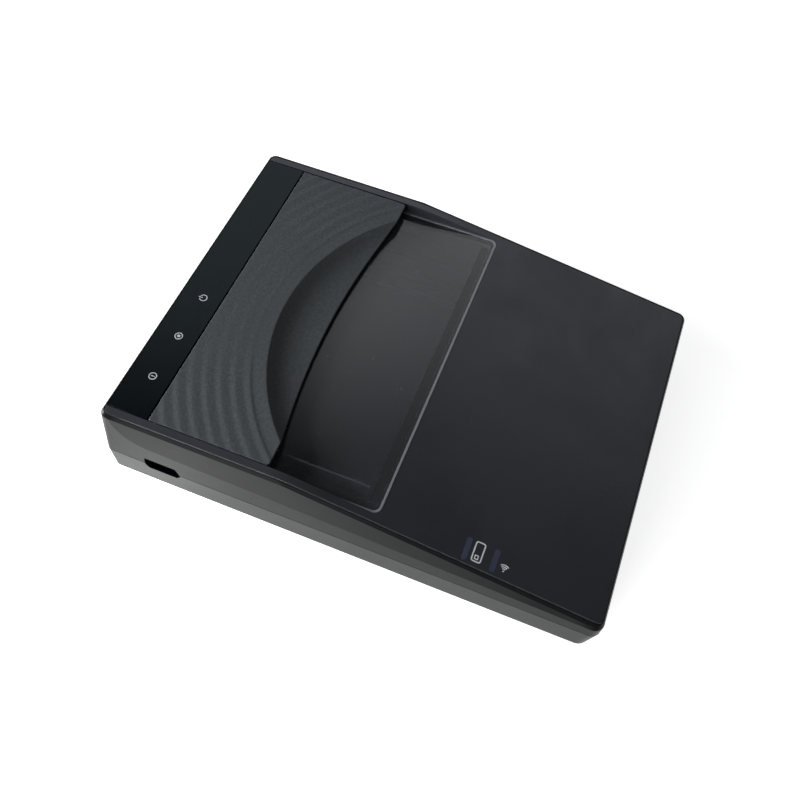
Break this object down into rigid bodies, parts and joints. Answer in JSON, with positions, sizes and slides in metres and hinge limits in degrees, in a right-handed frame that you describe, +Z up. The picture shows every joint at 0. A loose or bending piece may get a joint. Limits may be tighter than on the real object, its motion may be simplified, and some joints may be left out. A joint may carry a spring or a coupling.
{
  "type": "travel document scanner",
  "caption": "Low wedge-shaped desktop scanner for travel documents: sloping deck, sunken scan glass under a hinged scooped cover, indicator strip, front card slot and side cable port.",
  "frame": {"origin": "centre of the footprint, in the plane of the rubber feet's undersides", "axes": "+X to the user's right (the cable port is on the -X side), +Y to the back (the indicator strip), +Z up"},
  "size_m": [0.144, 0.1857, 0.0369],
  "materials": {
    "case_plastic": "fine eroded grain, charcoal",
    "panel_plastic": "satin, near-black",
    "cover_plastic": "fine matte grain over moulded ripples, charcoal",
    "strip_gloss": "polished, near-black",
    "scan_glass": "polished, dark",
    "rim": "satin grey line",
    "symbol_print": "light grey ink",
    "light_window": "translucent slate blue, unlit",
    "light_guide": "clear, frosted ends",
    "circuit_board": "green solder mask",
    "copper_track": "copper under lacquer",
    "chip_black": "moulded epoxy",
    "lamp_white": "small lamp",
    "capacitor_can": "bright can",
    "steel": "plain",
    "screw_steel": "black zinc",
    "carriage_plastic": "glass-filled, black",
    "white_part": "white",
    "lens_glass": "clear rod lenses",
    "motor_can": "plated can",
    "pulley_brass": "turned",
    "belt_rubber": "toothed belt rubber",
    "foot_rubber": "soft"
  },
  "bodies": {
    "base": {"lower_case": "case_plastic", "middle_case": "case_plastic", "top_panel": "panel_plastic", "scan_glass": "scan_glass", "glass_rim": "rim", "white_reference": "white_part", "indicator_strip": "strip_gloss", "power_icon": "symbol_print", "data_icon": "symbol_print", "alert_icon": "symbol_print", "card_icon": "symbol_print", "wave_icon": "symbol_print", "light_guides": "light_guide", "indicator_board": "circuit_board", "indicator_lamps": "lamp_white", "card_light": "light_window", "wave_light": "light_window", "lamp_board": "circuit_board", "antenna_board": "circuit_board", "antenna_coil": "copper_track", "main_board": "circuit_board", "board_chips": "chip_black", "board_capacitors": "capacitor_can", "buzzer": "chip_black", "card_reader": "steel", "port_board": "circuit_board", "port_socket": "steel", "port_tongue": "chip_black", "guide_rod": "steel", "drive_motor": "motor_can", "motor_bracket": "steel", "idler_pin": "steel", "drive_belt": "belt_rubber", "case_screws": "screw_steel", "board_screws": "screw_steel", "bracket_screws": "screw_steel", "indicator_screws": "screw_steel", "rubber_feet": "foot_rubber"},
    "cover": {"cover": "cover_plastic", "hinge_pins": "steel"},
    "carriage": {"carriage": "carriage_plastic", "image_sensor": "carriage_plastic", "lens_bar": "lens_glass", "light_bar": "light_guide", "sensor_glass": "scan_glass", "glide_pads": "white_part"},
    "motor_rotor": {"motor_shaft": "steel", "drive_pulley": "pulley_brass"},
    "idler": {"idler_pulley": "white_part"}
  },
  "joints": [
    {"name": "cover_hinge", "type": "hinge", "parent": "base", "child": "cover", "pos_m": [0, 0.0727, 0.03565], "axis": [-1, 0, 0], "range_deg": [0, 80]},
    {"name": "scan_slide", "type": "slide", "parent": "base", "child": "carriage", "axis": [0, 1, 0], "range_m": [0, 0.085]},
    {"name": "motor_spin", "type": "hinge", "parent": "base", "child": "motor_rotor", "pos_m": [0.048, -0.038, 0.0126], "axis": [0, 0, 1], "continuous": true},
    {"name": "idler_spin", "type": "hinge", "parent": "base", "child": "idler", "pos_m": [0.048, 0.0845, 0.0108], "axis": [0, 0, 1], "continuous": true}
  ],
  "couplings": [
    {"joint": "motor_spin", "follows": "scan_slide", "rad_per_m": -263.16},
    {"joint": "idler_spin", "follows": "scan_slide", "rad_per_m": -263.16}
  ]
}
